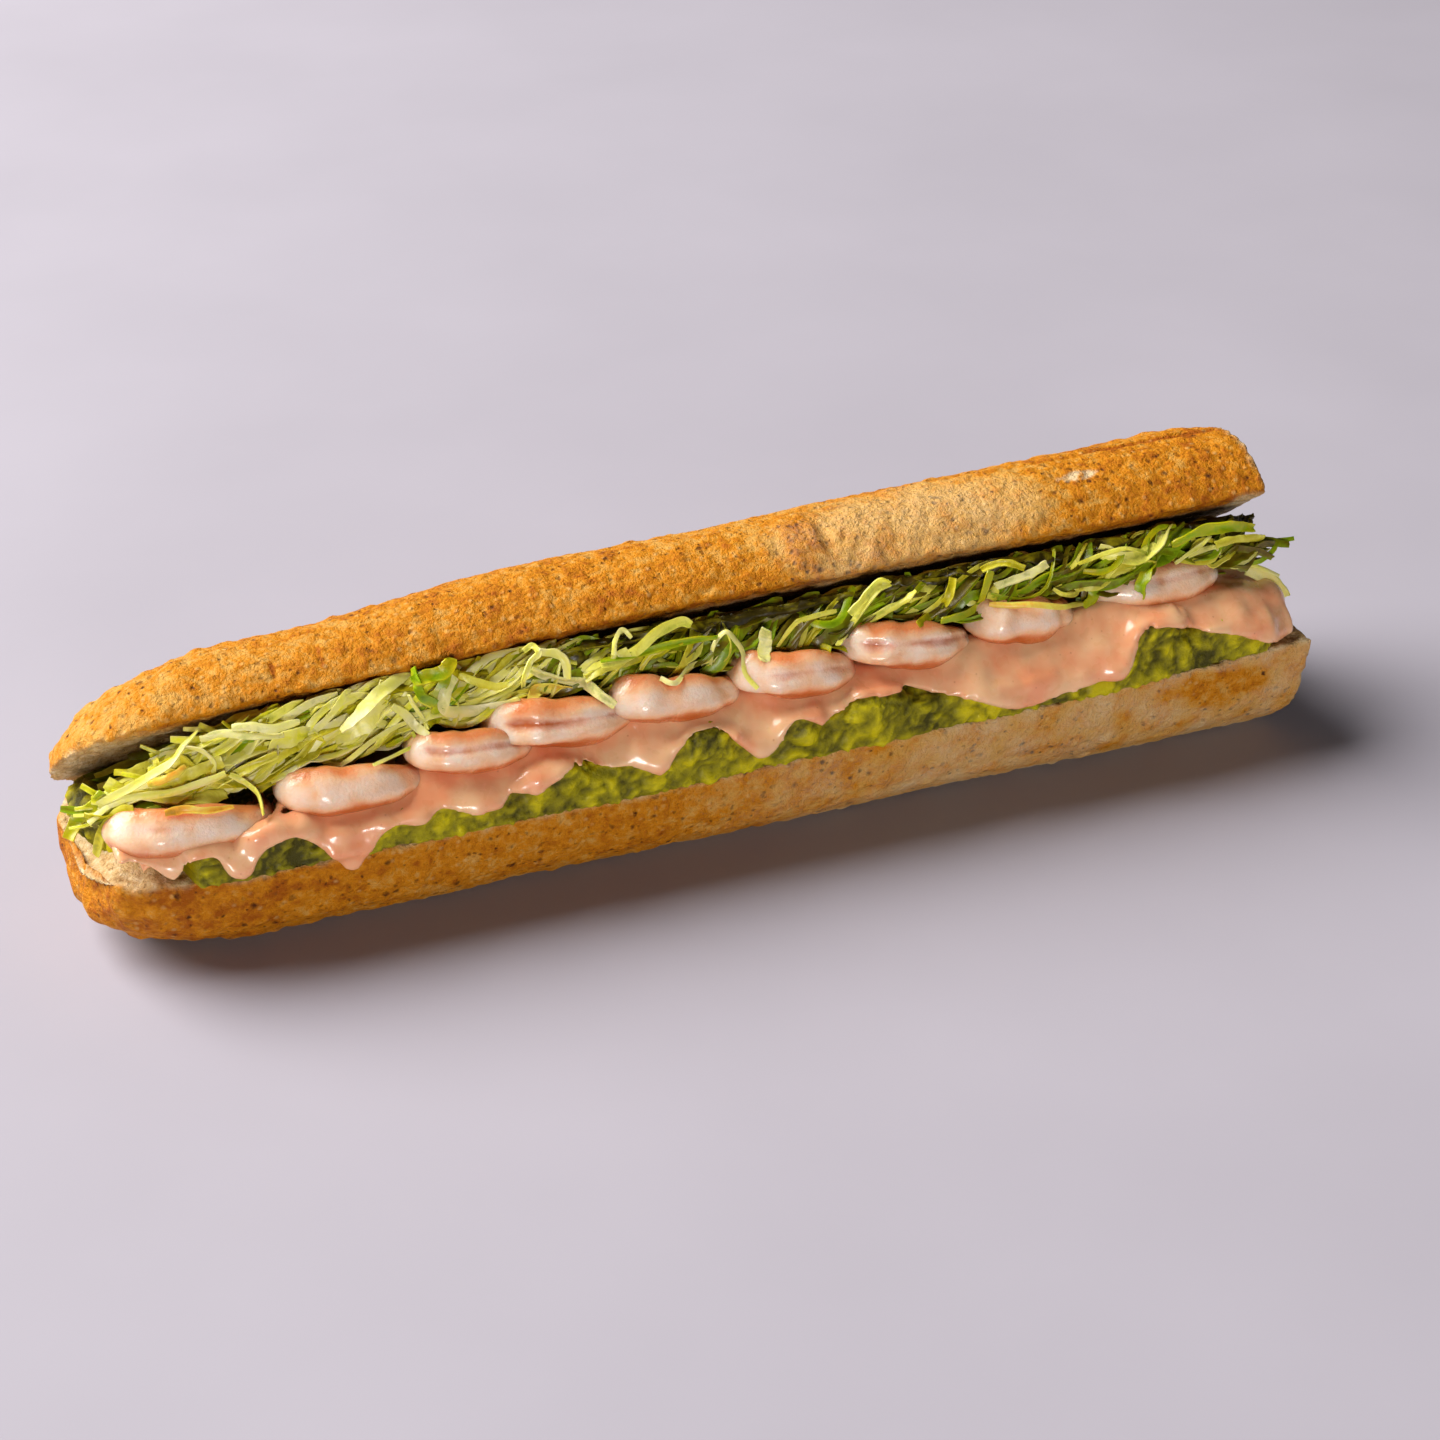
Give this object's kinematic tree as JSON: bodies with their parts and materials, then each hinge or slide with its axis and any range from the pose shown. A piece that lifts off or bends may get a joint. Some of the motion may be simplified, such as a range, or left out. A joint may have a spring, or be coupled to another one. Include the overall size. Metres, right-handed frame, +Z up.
{
  "type": "shrimp and avocado baguette sandwich",
  "caption": "Long wholegrain baguette sandwich, opened towards the front, filled with mashed avocado, pink sauce, a row of curled shrimps and shredded lettuce.",
  "frame": {"origin": "under the middle of the bounding box, on the surface that the lower half rests on", "axes": "+X along the loaf from its rounded natural end to its cut end, -Y towards the open side, +Z up"},
  "size_m": [0.3104, 0.068, 0.076],
  "materials": {
    "bread": "baked wholegrain crust, golden brown with fine dark bran flecks, matt; the cut faces are pale open crumb",
    "avocado": "roughly mashed ripe avocado, lumpy, moist, half gloss",
    "sauce": "salmon pink mayonnaise-based sauce, smooth, glossy",
    "shrimp": "cooked peeled shrimp, white and pink flesh, wet",
    "lettuce": "shredded iceberg lettuce, pale to bright green, slightly translucent"
  },
  "bodies": {
    "root": {"bread_bottom": "bread", "bread_top": "bread", "avocado_mash": "avocado", "cocktail_sauce": "sauce", "shrimp_1": "shrimp", "shrimp_2": "shrimp", "shrimp_3": "shrimp", "shrimp_4": "shrimp", "shrimp_5": "shrimp", "shrimp_6": "shrimp", "shrimp_7": "shrimp", "shrimp_8": "shrimp", "shrimp_9": "shrimp", "lettuce_heap": "lettuce"}
  },
  "joints": []
}
